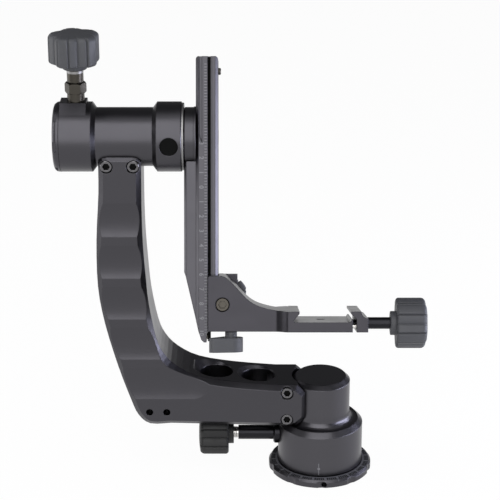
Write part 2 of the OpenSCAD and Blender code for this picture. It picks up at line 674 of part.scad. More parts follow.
module tilt_lock_nut() color(STEEL)
    translate([tilt_lock_x, 0, tilt_z + pad_top + lock_sleeve_h]) difference() {
        intersection() {
            cylinder(r = nut_r, h = nut_h, $fn = 6);
            rotate_extrude() polygon([[0, 0], [nut_r - 0.9, 0], [nut_r, 0.9], [nut_r, nut_h - 0.9],
                [nut_r - 0.9, nut_h], [0, nut_h]]);
        }
        translate([0, 0, -1]) cylinder(r = stud_r + run_gap, h = nut_h + 2);
    }

// ---- locks ----

module pan_lock_shoe() color(BRASS) translate([0, 0, pan_lock_z]) rotate([0, -90, 0])
    translate([0, 0, pan_shoe_tip]) cylinder(r = stud_r, h = pan_shoe_end - pan_shoe_tip);

module pan_lock_stud() color(BRIGHT) translate([-sleeve_end - stud_show, 0, pan_lock_z]) rotate([0, -90, 0])
    lock_stud(sleeve_end + stud_show - pan_shoe_end);

module pan_lock_knob() color(KNOB)
    translate([-sleeve_end - stud_show, 0, pan_lock_z]) rotate([0, -90, 0]) lobed_knob(-9);

tilt_stud_z = tilt_z + pad_top + lock_sleeve_h + nut_h + shank_gap;

module tilt_lock_shoe() color(BRASS) translate([tilt_lock_x, 0, tilt_z + tilt_shoe_tip])
    cylinder(r = stud_r, h = tilt_shoe_end - tilt_shoe_tip);

module tilt_lock_stud() color(STEEL) {
    translate([tilt_lock_x, 0, tilt_z + tilt_shoe_end]) cylinder(r = stud_r, h = tilt_stud_z - tilt_z - tilt_shoe_end + eps);
    translate([tilt_lock_x, 0, tilt_stud_z]) cylinder(r = shank_r, h = shank_h);
    translate([tilt_lock_x, 0, tilt_stud_z + shank_h - eps]) cylinder(r = stud_r, h = spigot_len + eps);
}

module tilt_lock_knob() color(KNOB) translate([tilt_lock_x, 0, tilt_stud_z + shank_h]) lobed_knob(-4);

// ---- swing ----

module tilt_shaft() color(STEEL) tilt_axis() difference() {
    translate([0, 0, hub_x0 + 2.4]) cylinder(r = shaft_r, h = rail_x0 - hub_x0 - 2.4);
    translate([0, 0, rail_x0 - 22]) cylinder(r = bolt_r + 0.5, h = 30);
}

module tilt_lock_drum() color(STEEL) tilt_axis() translate([0, 0, tilt_drum_x0])
    ring(tilt_drum_r, shaft_r, tilt_drum_w);

module tilt_shaft_nut() color(STEEL) tilt_axis() translate([0, 0, hub_x0 + 2.4])
    ring(shaft_r + 4, shaft_r, tilt_drum_x0 - hub_x0 - 2.4);

module swing_boss() color(GRAPHITE) tilt_axis() difference() {
    rotate_extrude() polygon([[shaft_r, boss_x0], [boss_r - 1, boss_x0], [boss_r - 0.4, boss_x0 + 0.6],
        [boss_r - 0.4, rail_x0 - 1.6], [boss_r, rail_x0 - 1.6], [boss_r, rail_x0], [shaft_r, rail_x0]]);
}

// Section of the rail: chamfered corners, clamping grooves near the right side
module rail_section() {
    h = rail_d / 2;
    c = 1.9;
    difference() {
        polygon([[rail_x0 + c, -h], [rail_x1 - c, -h], [rail_x1, -h + c], [rail_x1, h - c],
            [rail_x1 - c, h], [rail_x0 + c, h], [rail_x0, h - c], [rail_x0, -h + c]]);
        for (side = [-1, 1]) translate([groove_x1 - groove_w, side > 0 ? h - groove_depth : -h - 1])
            square([groove_w, groove_depth + 1]);
    }
}

module spine_section() {
    h = 12;
    c = 1.6;
    polygon([[boss_x0 + c, -h], [rail_x0 + 1, -h], [rail_x0 + 1, h], [boss_x0 + c, h], [boss_x0, h - c],
        [boss_x0, -h + c]]);
}

// Front view of the rail: rounded top, spine tapering away, narrow foot
module rail_outline() polygon(concat(
    [for (a = [0 : 15 : 90]) [rail_x1 - 2 + 2 * cos(a), rail_up - 2 + 2 * sin(a)]],
    [for (a = [90 : 15 : 180]) [rail_x0 + 2 + 2 * cos(a), rail_up - 2 + 2 * sin(a)]],
    [[rail_x0, 5], [boss_x0, 5], [boss_x0, -rail_down + 48], [boss_x0 + 1, -rail_down + 45.6],
     [rail_x0 + 1.6, -rail_down + 7.8], [rail_x0 + 3.6, -rail_down + 1.8], [rail_x0 + 5.4, -rail_down],
     [rail_x0 + 7.2, -rail_down], [rail_x0 + 7.2, -rail_down + 6.6], [rail_x1, -rail_down + 12]]));

module swing_rail() color(GRAPHITE) swing_frame() difference() {
    intersection() {
        union() {
            translate([0, 0, -rail_down - 1]) linear_extrude(rail_down + rail_up + 2) rail_section();
            translate([0, 0, -rail_down]) linear_extrude(rail_down) spine_section();
        }
        along_y(-rail_d) mirror([0, 1, 0]) linear_extrude(2 * rail_d) rail_outline();
    }
    along_x(boss_x0 - 1) cylinder(r = boss_r + 0.1, h = spine_t + 1);
    along_x(rail_x0 - 5) cylinder(r = bolt_r + 0.5, h = rail_w + 10);
    along_x(rail_x1 - 4) cylinder(r = bolt_r * 2, h = 10);
    short_groove();
    for (side = [0, 1]) mirror([0, side, 0]) front_lines();
    translate([0, 0, rail_up - 9.6]) along_x(rail_x1 - 6) cylinder(r = stop_screw_r, h = 8);
    translate([0, 0, -rail_down + 3.4]) along_x(rail_x0 + 7.2 - 4) cylinder(r = stop_screw_r, h = 8);
}

// Short groove left of the scale, running out below the tilt axis
module short_groove() {
    x = rail_x0 + 2.2;
    for (side = [0, 1]) mirror([0, side, 0]) translate([x, -rail_d / 2 - 1, 1]) {
        cube([groove_w, groove_depth + 0.6, rail_up + 2]);
        rotate([90, 0, 0]) translate([0, 0, -groove_depth - 0.6])
            linear_extrude(groove_depth + 0.6) polygon([[0, eps], [groove_w, eps], [groove_w, -6]]);
    }
}

// Shallow step along the right edge of the front and back faces
module front_lines() translate([groove_x1 - eps, -rail_d / 2 - 1, -rail_down - 1])
    cube([0.9, 1.3, rail_down + rail_up + 2]);

module axle_bolt() color(STEEL) swing_frame() along_x(rail_x1 - 4)
    cap_screw(bolt_r + 0.5, rail_w + 10, bolt_r * 2 - 0.2, 3.6);

module rail_stop_screws() color(STEEL) swing_frame() {
    translate([0, 0, rail_up - 9.6]) along_x(rail_x1) cap_screw(stop_screw_r, 5.5, 2.4, 1.8);
    translate([0, 0, -rail_down + 3.4]) along_x(rail_x0 + 7.2) cap_screw(stop_screw_r, 3.8, 2.4, 1.8);
}

// ---- cradle ----

// Front view of the bracket: tall at the rail, sweeping down to the clamp.
// Each point is its distance from the rail and its share of the drop.
sweep_form = [[3, 1], [6, 0.94], [11, 0.75], [16, 0.52], [21, 0.312], [26, 0.18], [31, 0.104], [37.6, 0.037],
    [43.6, 0.008]];
module bracket_outline() {
    foot_top = -bracket_down + foot_h;
    x_end = fixed_jaw_x0 + 1;
    sweep = smooth(concat([for (p = sweep_form) [rail_x1 + p[0], foot_top + p[1] * (bracket_h - foot_h)]],
        [[x_end, foot_top]]), 4);
    polygon(concat([[bracket_x0, -bracket_down], [bracket_x0, bracket_top - 1], [bracket_x0 + 1, bracket_top]],
        sweep, [[x_end, -bracket_down]]));
}

module cradle_bracket() color(GRAPHITE) swing_frame() difference() {
    union() {
        along_y(-bracket_front) mirror([0, 1, 0]) linear_extrude(bracket_front + rail_d / 2) bracket_outline();
        translate([fixed_jaw_x0, -clamp_len / 2, -bracket_down]) cube([floor_x1 - fixed_jaw_x0, clamp_len, floor_t]);
        fixed_jaw();
        floor_lip();
        for (side = [0, 1]) mirror([0, side, 0]) clamp_sweep(side == 0 ? bracket_front : rail_d / 2);
    }
    rail_pocket();
    translate([clamp_screw_x, -bracket_front + 4, clamp_screw_z]) rotate([90, 0, 0])
        screw_pocket(bolt_r, bracket_front + rail_d, 4.9, 5);
    for (z = [-bracket_down + 5, bracket_top - 5.4]) translate([clamp_screw_x, rail_d / 2 - 10, z])
        along_y(0) cylinder(r = 1.5, h = 12);
    translate([0, 0, lens_axis_z]) along_x(-12) cylinder(r = lens_thread_r + run_gap, h = 50);
    for (side = [-1, 1]) translate([0, side * clamp_len * 0.31, lens_axis_z - 0.6])
        along_x(-6) cylinder(r = 1.8, h = 40);
    translate([lever_x, lever_y, -bracket_down - 1]) cylinder(r = lever_screw_r + run_gap, h = 13);
    translate([-2.6, 0, clamp_floor_z - 1.2]) cylinder(r = 3.2, h = 10);
}

// Space for the rail, with the hook left standing in its front groove
module rail_pocket() difference() {
    translate([bracket_x0 - 1, -rail_d / 2 - side_gap, -bracket_down - 1])
        cube([rail_x1 + side_gap - bracket_x0 + 1, rail_d + 5, bracket_h + 2]);
    translate([bracket_x0 - 1, -rail_d / 2 - side_gap - 1, -bracket_down - 2])
        cube([hook_t + 1, groove_depth + side_gap + 0.4, bracket_h + 4]);
}

// The two jaws' inner sides lean over the plate, as a dovetail does
module fixed_jaw() along_y(-clamp_len / 2) mirror([0, 1, 0]) linear_extrude(clamp_len) polygon([
    [fixed_jaw_x0, clamp_floor_z - 1], [fixed_jaw_x0, clamp_top_z - 1], [fixed_jaw_x0 + 1, clamp_top_z],
    [dovetail_x0 + jaw_lip, clamp_top_z], [dovetail_x0 + jaw_lip, clamp_top_z - 1.6],
    [dovetail_x0, clamp_floor_z + 1.2], [dovetail_x0, clamp_floor_z - 1]]);

module floor_lip() along_y(-clamp_len / 2) mirror([0, 1, 0]) linear_extrude(clamp_len) polygon([
    [dovetail_x1 + 0.4, clamp_floor_z - 1], [dovetail_x1 + 0.4, clamp_floor_z + 0.6],
    [floor_x1 - 0.6, clamp_floor_z + 1.6], [floor_x1, clamp_floor_z + 1.6], [floor_x1, clamp_floor_z - 1]]);

// Sloping sweep in plan from the bracket's face out to the wider clamp
module clamp_sweep(face) {
    s = clamp_len / 2 - face;
    x = fixed_jaw_x0 + 0.4;
    translate([0, 0, -bracket_down]) linear_extrude(foot_h) polygon(concat(
        smooth([[x - 1.7 * s, -face + 0.01], [x - 1.35 * s, -face - 0.06 * s], [x - 0.8 * s, -face - 0.42 * s],
            [x - 0.25 * s, -face - 0.92 * s], [x, -face - s]], 4),
        [[x, -face + 2], [x - 1.7 * s, -face + 2]]));
}

module cradle_screw() color(STEEL) swing_frame()
    translate([clamp_screw_x, -bracket_front + 4, clamp_screw_z]) rotate([90, 0, 0])
        cap_screw(bolt_r, rail_d / 2 + bracket_front + 16, 4.7, 3.6);

module cradle_jaw_pins() color(STEEL) swing_frame()
    for (z = [-bracket_down + 5, bracket_top - 5.4]) translate([clamp_screw_x, rail_d / 2 - 10, z])
        along_y(0) cylinder(r = 1.5, h = 15.5);

module clamp_guide_pins() color(BRIGHT) swing_frame()
    for (side = [-1, 1]) translate([0, side * clamp_len * 0.31, lens_axis_z - 0.6])
        along_x(-6) cylinder(r = 1.8, h = jaw_x1 + 4.6);

module cradle_jaw() color(GRAPHITE) swing_frame() difference() {
    union() {
        translate([bracket_x0, rear_face, -bracket_down + 0.6])
            cube([rear_jaw_x1 - bracket_x0, rear_jaw_t, bracket_h - 1.2]);
        translate([bracket_x0, rail_d / 2 - groove_depth + 0.4, -bracket_down + 0.6])
            cube([hook_t, groove_depth + 1, bracket_h - 1.2]);
    }
    translate([clamp_screw_x, 0, clamp_screw_z]) along_y(0) cylinder(r = bolt_r + run_gap, h = 60);
    for (z = [-bracket_down + 5, bracket_top - 5.4]) translate([clamp_screw_x, 0, z])
        along_y(0) cylinder(r = 1.5 + run_gap, h = 60);
}

module cradle_stud() color(STEEL) swing_frame()
    translate([clamp_screw_x, rear_face + rear_jaw_t, clamp_screw_z]) along_y(0)
        lock_stud(0, bolt_r + run_gap);

module cradle_knob() color(KNOB) swing_frame()
    translate([clamp_screw_x, rear_face + rear_jaw_t, clamp_screw_z]) along_y(0) lobed_knob(0);

// ---- lens clamp ----

module lens_jaw() color(GRAPHITE) swing_frame() difference() {
    along_y(-clamp_len / 2) mirror([0, 1, 0]) linear_extrude(clamp_len) polygon(concat(
        [[jaw_x0, -bracket_down], [jaw_x1, -bracket_down], [jaw_x1, clamp_floor_z + 2.8]],
        [for (a = [0 : 15 : 75]) [jaw_x1 - 4.6 * sin(a), clamp_floor_z + 7.4 - 4.6 * cos(a)]],
        [[jaw_x1 - 4.6, clamp_top_z], [dovetail_x1 - jaw_lip + 4.6, clamp_top_z],
         [dovetail_x1 - jaw_lip + 4.6, clamp_top_z - 1.6], [jaw_x0, clamp_floor_z + 2.2]]));
    translate([0, 0, lens_axis_z]) along_x(0) cylinder(r = lens_thread_r + run_gap, h = 50);
    for (side = [-1, 1]) translate([0, side * clamp_len * 0.31, lens_axis_z - 0.6])
        along_x(0) cylinder(r = 1.8 + run_gap, h = 50);
}

module lens_screw() color(DARK) swing_frame() translate([0, 0, lens_axis_z]) {
    along_x(1) cylinder(r = lens_thread_r, h = jaw_x1 - 1 + eps);
    along_x(jaw_x1) cylinder(r = lens_shank_r, h = lens_shank_len + eps);
    along_x(jaw_x1 + lens_shank_len) cylinder(r = stud_r, h = spigot_len);
}

module lens_knob() color(KNOB) swing_frame() translate([0, 0, lens_axis_z])
    along_x(jaw_x1 + lens_shank_len) lobed_knob(-20);

// ---- height stop under the bracket ----

module height_stop_screw() color(STEEL) swing_frame()
    translate([lever_x, lever_y, -bracket_down - lever_neck - 6])
        cylinder(r = lever_screw_r, h = 6 + lever_neck + 10);

module height_stop_lever() color(KNOB) swing_frame()
    translate([lever_x, lever_y, -bracket_down - lever_neck - lever_t]) difference() {
        union() {
            linear_extrude(lever_t) lever_outline();
            translate([0, 0, lever_t - eps]) cylinder(r = lever_neck_r, h = lever_neck - face_gap);
        }
        translate([0, 0, lever_t - 6]) cylinder(r = lever_screw_r, h = 20);
    }

// Plan of the lever: a round hub with one grip that tapers to a round tip
module lever_outline() {
    d = lever_reach - lever_tip_r;
    a = acos((lever_hub_r - lever_tip_r) / d);
    rotate(lever_angle) {
        circle(r = lever_hub_r);
        translate([d, 0]) circle(r = lever_tip_r);
        polygon([[lever_hub_r * cos(a), -lever_hub_r * sin(a)], [d + lever_tip_r * cos(a), -lever_tip_r * sin(a)],
            [d + lever_tip_r * cos(a), lever_tip_r * sin(a)], [lever_hub_r * cos(a), lever_hub_r * sin(a)]]);
    }
}
base_plate();
thread_insert();
base_screws();
pan_spindle();
pan_lock_drum();
pan_bearing_inner_rings();
spindle_nut();
rim_grub_screw();
pan_housing();
bearing_retainer();
pan_bearing_outer_rings();
pan_bearing_balls();
pan_lock_sleeve();
arm();
arm_base_bolts();
arm_top_bolts();
tilt_housing();
tilt_end_cap();
tilt_bearing_outer_rings();
tilt_bearing_balls();
tilt_seal_ring();
port_plug();
tilt_lock_sleeve();
tilt_lock_nut();
pan_lock_shoe();
pan_lock_stud();
pan_lock_knob();
tilt_lock_shoe();
tilt_lock_stud();
tilt_lock_knob();
tilt_shaft();
tilt_lock_drum();
tilt_bearing_inner_rings();
tilt_shaft_nut();
swing_boss();
swing_rail();
axle_bolt();
rail_stop_screws();
cradle_bracket();
cradle_screw();
cradle_jaw_pins();
clamp_guide_pins();
cradle_jaw();
cradle_stud();
cradle_knob();
lens_jaw();
lens_screw();
lens_knob();
height_stop_screw();
height_stop_lever();
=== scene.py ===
# %% [markdown]
# # A gimbal tripod head, dressed for its portrait
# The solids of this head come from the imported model, which is a fixed frame: they
# already have their real sizes and places. This script gives every surface its finish,
# adds the small things that only the eye needs, such as scales and screw threads, and
# then lights the whole as a studio would.

# %% The frame
import json
import math

import bmesh
import bpy
from mathutils import Matrix, Vector


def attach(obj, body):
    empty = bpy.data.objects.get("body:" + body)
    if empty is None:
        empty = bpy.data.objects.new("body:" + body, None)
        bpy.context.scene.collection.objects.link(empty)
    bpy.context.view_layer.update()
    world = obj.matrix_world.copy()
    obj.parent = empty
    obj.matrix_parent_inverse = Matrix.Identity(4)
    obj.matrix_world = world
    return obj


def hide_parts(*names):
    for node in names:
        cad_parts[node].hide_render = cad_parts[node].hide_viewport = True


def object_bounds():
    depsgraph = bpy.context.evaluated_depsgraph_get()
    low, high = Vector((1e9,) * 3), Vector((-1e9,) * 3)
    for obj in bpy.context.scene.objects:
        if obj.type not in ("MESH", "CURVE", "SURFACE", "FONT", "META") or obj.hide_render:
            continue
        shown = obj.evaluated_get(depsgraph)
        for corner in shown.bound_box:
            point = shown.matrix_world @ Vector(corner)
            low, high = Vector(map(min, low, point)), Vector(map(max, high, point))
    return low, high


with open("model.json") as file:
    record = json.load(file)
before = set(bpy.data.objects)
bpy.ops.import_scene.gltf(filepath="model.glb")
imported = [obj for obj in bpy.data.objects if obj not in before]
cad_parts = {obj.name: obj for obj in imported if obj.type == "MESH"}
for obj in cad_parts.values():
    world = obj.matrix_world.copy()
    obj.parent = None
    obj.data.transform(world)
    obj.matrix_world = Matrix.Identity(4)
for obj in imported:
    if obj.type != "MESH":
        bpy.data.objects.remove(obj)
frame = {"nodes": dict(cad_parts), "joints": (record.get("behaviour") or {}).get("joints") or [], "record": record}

MM = 0.001
cad_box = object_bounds()
nodes = frame["nodes"]
joints = {joint["name"]: joint for joint in frame["joints"]}
print("solids:", len(nodes), "joints:", len(joints))

# %% [markdown]
# ## The view
# The camera looks down on the head from the front. Its place and its long focal length
# were worked out from the circles of the base and the housings, whose ellipses tell how
# steeply they are seen. A long lens far away keeps the uprights nearly parallel.

# %% Camera
CAMERA_PLACE = Vector((-51.7, -1188.6, 634.1)) * MM
CAMERA_PITCH = math.radians(21.30)
SENSOR_WIDTH = 36.0
FOCAL_LENGTH = 129.5

camera_data = bpy.data.cameras.new("portrait_camera")
camera_data.sensor_width = SENSOR_WIDTH
camera_data.lens = FOCAL_LENGTH
camera_data.clip_end = 50
camera = bpy.data.objects.new("portrait_camera", camera_data)
camera.location = CAMERA_PLACE
camera.rotation_euler = (math.pi / 2 - CAMERA_PITCH, 0, 0)
bpy.context.scene.collection.objects.link(camera)
bpy.context.scene.camera = camera
bpy.context.scene.view_settings.view_transform = "Standard"
print("camera", round(CAMERA_PLACE.length, 3), "m from the tripod thread")

# %% [markdown]
# ## Colours and nodes
# Colours are written the way a picker shows them, as sRGB hex, and one function turns
# them into the linear numbers that a shader wants. One more function adds a node,
# sets it up and wires it, so that each material below reads from top to bottom.


# %% Helpers for materials
def linear(hex_colour):
    """Turn an sRGB hex colour into linear RGBA."""
    parts = [int(hex_colour[i:i + 2], 16) / 255 for i in (1, 3, 5)]
    return tuple(((p + 0.055) / 1.055) ** 2.4 if p > 0.04045 else p / 12.92 for p in parts) + (1.0,)


def add(tree, kind, sockets=None, **settings):
    """Add a node. A socket gets a value, or a link from another node's output."""
    node = tree.nodes.new(kind)
    for name, value in settings.items():
        setattr(node, name, value)
    for name, value in (sockets or {}).items():
        if isinstance(value, bpy.types.NodeSocket):
            tree.links.new(value, node.inputs[name])
        else:
            node.inputs[name].default_value = value
    return node


def dress(solid, material):
    """Put one material in all the slots of a solid."""
    for slot in solid.material_slots:
        slot.material = material


def new_material(name):
    """An empty material, and its node tree with only an output."""
    material = bpy.data.materials.new(name)
    material.use_nodes = True
    material.node_tree.nodes.clear()
    output = add(material.node_tree, "ShaderNodeOutputMaterial")
    return material, material.node_tree, output


print("mid grey in linear light:", round(linear("#808080")[0], 4))

# %% [markdown]
# ## The studio
# The head stands on a pale floor that fills the view. Metal shows what is around it, so
# the room matters more than the lamps: a bright floor gives the undersides their cool
# glow, and a dim room above keeps upward faces dark. One broad soft box hangs in front,
# halfway up the sky, and a narrow one stands on each side, the right one cooler. A long
# dimmer one overhead puts a soft line along every chamfer.

# %% Floor
FLOOR_SIZE = 14.0
FLOOR_DROP = 0.4 * MM
PLAIN_SHARE = 0.04         # how much of its own lit paint the floor shows; the rest is even white

floor_mesh = bpy.data.meshes.new("studio_floor")
half = FLOOR_SIZE / 2
corners = [(-half, -half, 0), (half, -half, 0), (half, half, 0), (-half, half, 0)]
floor_mesh.from_pydata(corners, [], [(0, 1, 2, 3)])
floor = bpy.data.objects.new("studio_floor", floor_mesh)
floor.location.z = cad_box[0][2] - FLOOR_DROP
bpy.context.scene.collection.objects.link(floor)

floor_paint, tree, output = new_material("matt_white_paint")
diffuse = add(tree, "ShaderNodeBsdfDiffuse", {"Color": linear("#fbfbfc")})
glow = add(tree, "ShaderNodeEmission", {"Color": linear("#ffffff"), "Strength": 1.0})
path = add(tree, "ShaderNodeLightPath")
seen = add(tree, "ShaderNodeMath", {0: path.outputs["Is Camera Ray"], 1: path.outputs["Is Glossy Ray"]},
           operation="MAXIMUM")
seen = add(tree, "ShaderNodeMath", {0: seen.outputs[0], 1: path.outputs["Is Transmission Ray"]},
           operation="MAXIMUM")
share = add(tree, "ShaderNodeMath", {0: seen.outputs[0], 1: 1 - PLAIN_SHARE}, operation="MULTIPLY")
mixed = add(tree, "ShaderNodeMixShader", {0: share.outputs[0], 1: diffuse.outputs[0], 2: glow.outputs[0]})
tree.links.new(mixed.outputs[0], output.inputs["Surface"])
floor_mesh.materials.append(floor_paint)
print("floor", FLOOR_SIZE, "m wide")


# %% Room and soft boxes
def soft_box(name, place, size, power, colour="#ffffff"):
    """A rectangular lamp at place, turned towards the head's middle: sizes in metres, power in watts."""
    data = bpy.data.lights.new(name, "AREA")
    data.shape = "RECTANGLE"
    data.size, data.size_y = size
    data.energy = power
    data.color = linear(colour)[:3]
    lamp = bpy.data.objects.new(name, data)
    lamp.location = place
    lamp.rotation_euler = (HEAD_MIDDLE - Vector(place)).to_track_quat("-Z", "Y").to_euler()
    bpy.context.scene.collection.objects.link(lamp)


HEAD_MIDDLE = Vector((-0.05, 0.0, 0.17))
FRONT_ELEVATION = math.radians(37)
FRONT_DISTANCE = 1.6
FRONT_TO_THE_LEFT = 0.1    # share of the distance by which the front box stands to the left
ROOM_STRENGTH = 0.13

world = bpy.data.worlds.new("dim_room")
bpy.context.scene.world = world
world.use_nodes = True
room = world.node_tree.nodes["Background"]
room.inputs["Color"].default_value = linear("#f2f2f6")
room.inputs["Strength"].default_value = ROOM_STRENGTH

towards_front = Vector((-FRONT_TO_THE_LEFT, -math.cos(FRONT_ELEVATION), math.sin(FRONT_ELEVATION)))
front_place = HEAD_MIDDLE + FRONT_DISTANCE * towards_front
soft_box("front_soft_box", front_place, size=(1.8, 2.3), power=30)
soft_box("right_soft_box", (0.75, 0.0, 0.17), size=(0.8, 0.34), power=8, colour="#dfe2f8")
soft_box("left_soft_box", (-1.3, 0.1, 0.42), size=(0.7, 0.9), power=6)
soft_box("top_soft_box", (-0.05, -0.2, 1.35), size=(3.0, 0.7), power=4)
print("lamps:", [light.name for light in bpy.data.lights])

# %% [markdown]
# ## Bead-blasted aluminium
# The arm, the housings and the rail are cut from aluminium, blasted with fine beads and
# then anodised dark grey. Blasting leaves tiny dimples, so the metal has no sharp
# mirror image, only broad soft glows. Corners were broken with a small cutter, and a
# bevel node gives them the thin bright line that such a corner catches. The metal comes
# in three shades: a darker copy paints shade on the bracket and the jaws, and a lighter
# copy paints light on the pan housing.

# %% Graphite anodised aluminium
GRAIN = 0.35 * MM          # coarser than real dimples, so that they still show at this distance
DIMPLE_DEPTH = 0.004 * MM
CORNER = 0.8 * MM


def grain_bump(tree, size, height, normal=None):
    """A fine random dimple pattern with dimples of the given size, in metres."""
    place = add(tree, "ShaderNodeTexCoord")
    noise = add(tree, "ShaderNodeTexNoise", {
        "Vector": place.outputs["Object"], "Scale": 1 / size, "Detail": 2.0})
    sockets = {"Height": noise.outputs[0], "Distance": height, "Strength": 1.0}
    if normal:
        sockets["Normal"] = normal
    return add(tree, "ShaderNodeBump", sockets).outputs[0]


def worn_roughness(tree, low, high, size):
    """Roughness that drifts between two values in soft patches of the given size."""
    place = add(tree, "ShaderNodeTexCoord")
    cloud = add(tree, "ShaderNodeTexNoise", {
        "Vector": place.outputs["Object"], "Scale": 1 / size, "Detail": 3.0})
    spread = add(tree, "ShaderNodeMapRange", {
        "Value": cloud.outputs[0], "From Min": 0.3, "From Max": 0.7, "To Min": low, "To Max": high})
    return spread.outputs[0]


def rounded_corners(tree, radius):
    """Normals that turn softly over each corner."""
    return add(tree, "ShaderNodeBevel", {"Radius": radius}, samples=4).outputs[0]


def graphite_aluminium(name, colour):
    """Blasted and anodised metal of the given shade."""
    material, tree, output = new_material(name)
    normal = grain_bump(tree, GRAIN, DIMPLE_DEPTH, rounded_corners(tree, CORNER))
    metal = add(tree, "ShaderNodeBsdfPrincipled", {
        "Base Color": linear(colour), "Metallic": 1.0, "Normal": normal,
        "Roughness": worn_roughness(tree, low=0.31, high=0.36, size=14 * MM)})
    tree.links.new(metal.outputs[0], output.inputs["Surface"])
    return material


graphite = graphite_aluminium("graphite_anodised_aluminium", "#4b4a4e")
# The next two are copies of the same metal: the darker one paints shade, the lighter one paints light.
graphite_painted_shade = graphite_aluminium("graphite_aluminium_painted_shade", "#3c3b3f")
graphite_painted_light = graphite_aluminium("graphite_aluminium_painted_light", "#525155")
print("made:", graphite.name, graphite_painted_shade.name, graphite_painted_light.name)

# %% [markdown]
# ## Darker metal and steel
# Sleeves, the lock nut and the small inside parts are black anodised. Bolts are steel,
# plated dark, with heads polished by their own machining; the arm's own bolts look
# greyer. Threads and pins are left bright, and a brushed face is satin, with a wider
# and weaker gloss than a turned one.


# %% Black, gunmetal and bright metal
def plain_metal(name, colour, roughness, corner, grain=0.3 * MM, height=0.002 * MM):
    """Machined metal: its gloss varies a little, and its corners are softened."""
    material, tree, output = new_material(name)
    normal = grain_bump(tree, grain, height, rounded_corners(tree, corner))
    metal = add(tree, "ShaderNodeBsdfPrincipled", {
        "Base Color": linear(colour), "Metallic": 1.0, "Normal": normal,
        "Roughness": worn_roughness(tree, low=roughness * 0.9, high=roughness * 1.1, size=6 * MM)})
    tree.links.new(metal.outputs[0], output.inputs["Surface"])
    return material


black_metal = plain_metal("black_anodised_aluminium", "#2a2a2d", 0.3, 0.4 * MM)
gunmetal = plain_metal("dark_plated_steel", "#47443f", 0.3, 0.35 * MM)
bright_steel = plain_metal("bright_turned_steel", "#c9c7c4", 0.18, 0.2 * MM)
ground_steel = plain_metal("ground_steel", "#b4b4b6", 0.26, 0.2 * MM)
satin_steel = plain_metal("satin_steel", "#8d8c8c", 0.42, 0.2 * MM)
bolt_steel = plain_metal("grey_plated_steel", "#69686a", 0.25, 0.35 * MM)
brass = plain_metal("turned_brass", "#c8a45c", 0.25, 0.2 * MM)
print("metals:", black_metal.name, gunmetal.name, bright_steel.name, ground_steel.name, satin_steel.name,
      bolt_steel.name, brass.name)

# %% [markdown]
# ## Knob skin and plastic
# The knobs are moulded with a soft-touch rubbery skin. Such a skin scatters light in
# its surface: it has a grey body colour and a broad, weak gloss. The lowest knob gets
# a darker copy of the rubber, which paints shade on it.


# %% Soft-touch skin and moulded plastic
def moulded(name, colour, low, high, grain, height, corner):
    """Moulded skin: its roughness drifts from low to high over a grain of the given height."""
    material, tree, output = new_material(name)
    normal = grain_bump(tree, grain, height, rounded_corners(tree, corner))
    skin = add(tree, "ShaderNodeBsdfPrincipled", {
        "Base Color": linear(colour), "IOR": 1.5, "Normal": normal,
        "Roughness": worn_roughness(tree, low, high, size=9 * MM)})
    tree.links.new(skin.outputs[0], output.inputs["Surface"])
    return material


soft_touch = moulded("soft_touch_rubber", "#3e3f43", 0.5, 0.58, 0.5 * MM, 0.006 * MM, 0.8 * MM)
black_plastic = moulded("black_moulded_plastic", "#09090a", 0.4, 0.5, 0.5 * MM, 0.004 * MM, 0.3 * MM)
knob_rubber_painted_shade = moulded("knob_rubber_painted_shade", "#0c0c0d", 0.5, 0.6, 0.5 * MM, 0.006 * MM, 0.8 * MM)
print("skins:", soft_touch.name, black_plastic.name, knob_rubber_painted_shade.name)

# %% [markdown]
# ## Dressing the solids
# The record names the finish of each solid. Here each finish gets its material. A few
# solids get a finish of their own: some are a different metal, and lighter or darker
# copies of the metal and the rubber paint light or shade on others.

# %% Give each solid its finish
FINISHES = {
    "graphite": graphite, "black_metal": black_metal, "gunmetal_steel": gunmetal,
    "bright_steel": bright_steel, "inner_steel": ground_steel, "brass": brass,
    "knob": soft_touch, "black_plastic": black_plastic,
}
for subpart in frame["record"]["subparts"]:
    dress(nodes[subpart["node"]], FINISHES[subpart["material_slot"]])
# A darker copy of the knob rubber paints shade on the pan lock's knob.
dress(nodes["pan_lock_knob"], knob_rubber_painted_shade)
dress(nodes["tilt_seal_ring"], satin_steel)
# A lighter copy of the graphite paints light on the pan housing.
dress(nodes["pan_housing"], graphite_painted_light)
for name in ("arm_top_bolts", "arm_base_bolts"):
    dress(nodes[name], bolt_steel)
# A darker copy of the graphite paints shade on the bracket and the jaws.
for name in ("cradle_bracket", "cradle_jaw", "lens_jaw"):
    dress(nodes[name], graphite_painted_shade)

# %% [markdown]
# ## Places for the small pieces
# Marks and threads are written in millimetres, either in the head's own frame or in the
# frame of the swing, whose Z runs up the leaning rail from the tilt axis. One function
# turns a small mesh into an object, puts it there and lets it ride on its body. Others
# draw the simple forms that the marks are made of: thin boxes and flat rings.


# %% Helpers for pieces
HEAD = Matrix.Identity(4)
TILT_HEIGHT = joints["tilt"]["pos_m"][2] / MM
SWING_LEAN = math.radians(19)
SWING = Matrix.Translation((0, 0, TILT_HEIGHT * MM)) @ Matrix.Rotation(-SWING_LEAN, 4, "X")
PAINT = 0.03               # thickness of a printed or etched mark, in millimetres


def piece(name, mesh, material, body, place=HEAD, smooth=False):
    """A bmesh drawn in millimetres becomes a named piece that rides on a body."""
    data = bpy.data.meshes.new(name)
    bmesh.ops.scale(mesh, vec=(MM, MM, MM), verts=mesh.verts)
    bmesh.ops.recalc_face_normals(mesh, faces=mesh.faces)
    mesh.to_mesh(data)
    mesh.free()
    for face in data.polygons:
        face.use_smooth = smooth
    data.materials.append(material)
    made = bpy.data.objects.new(name, data)
    made.matrix_world = place
    bpy.context.scene.collection.objects.link(made)
    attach(made, body)
    return made


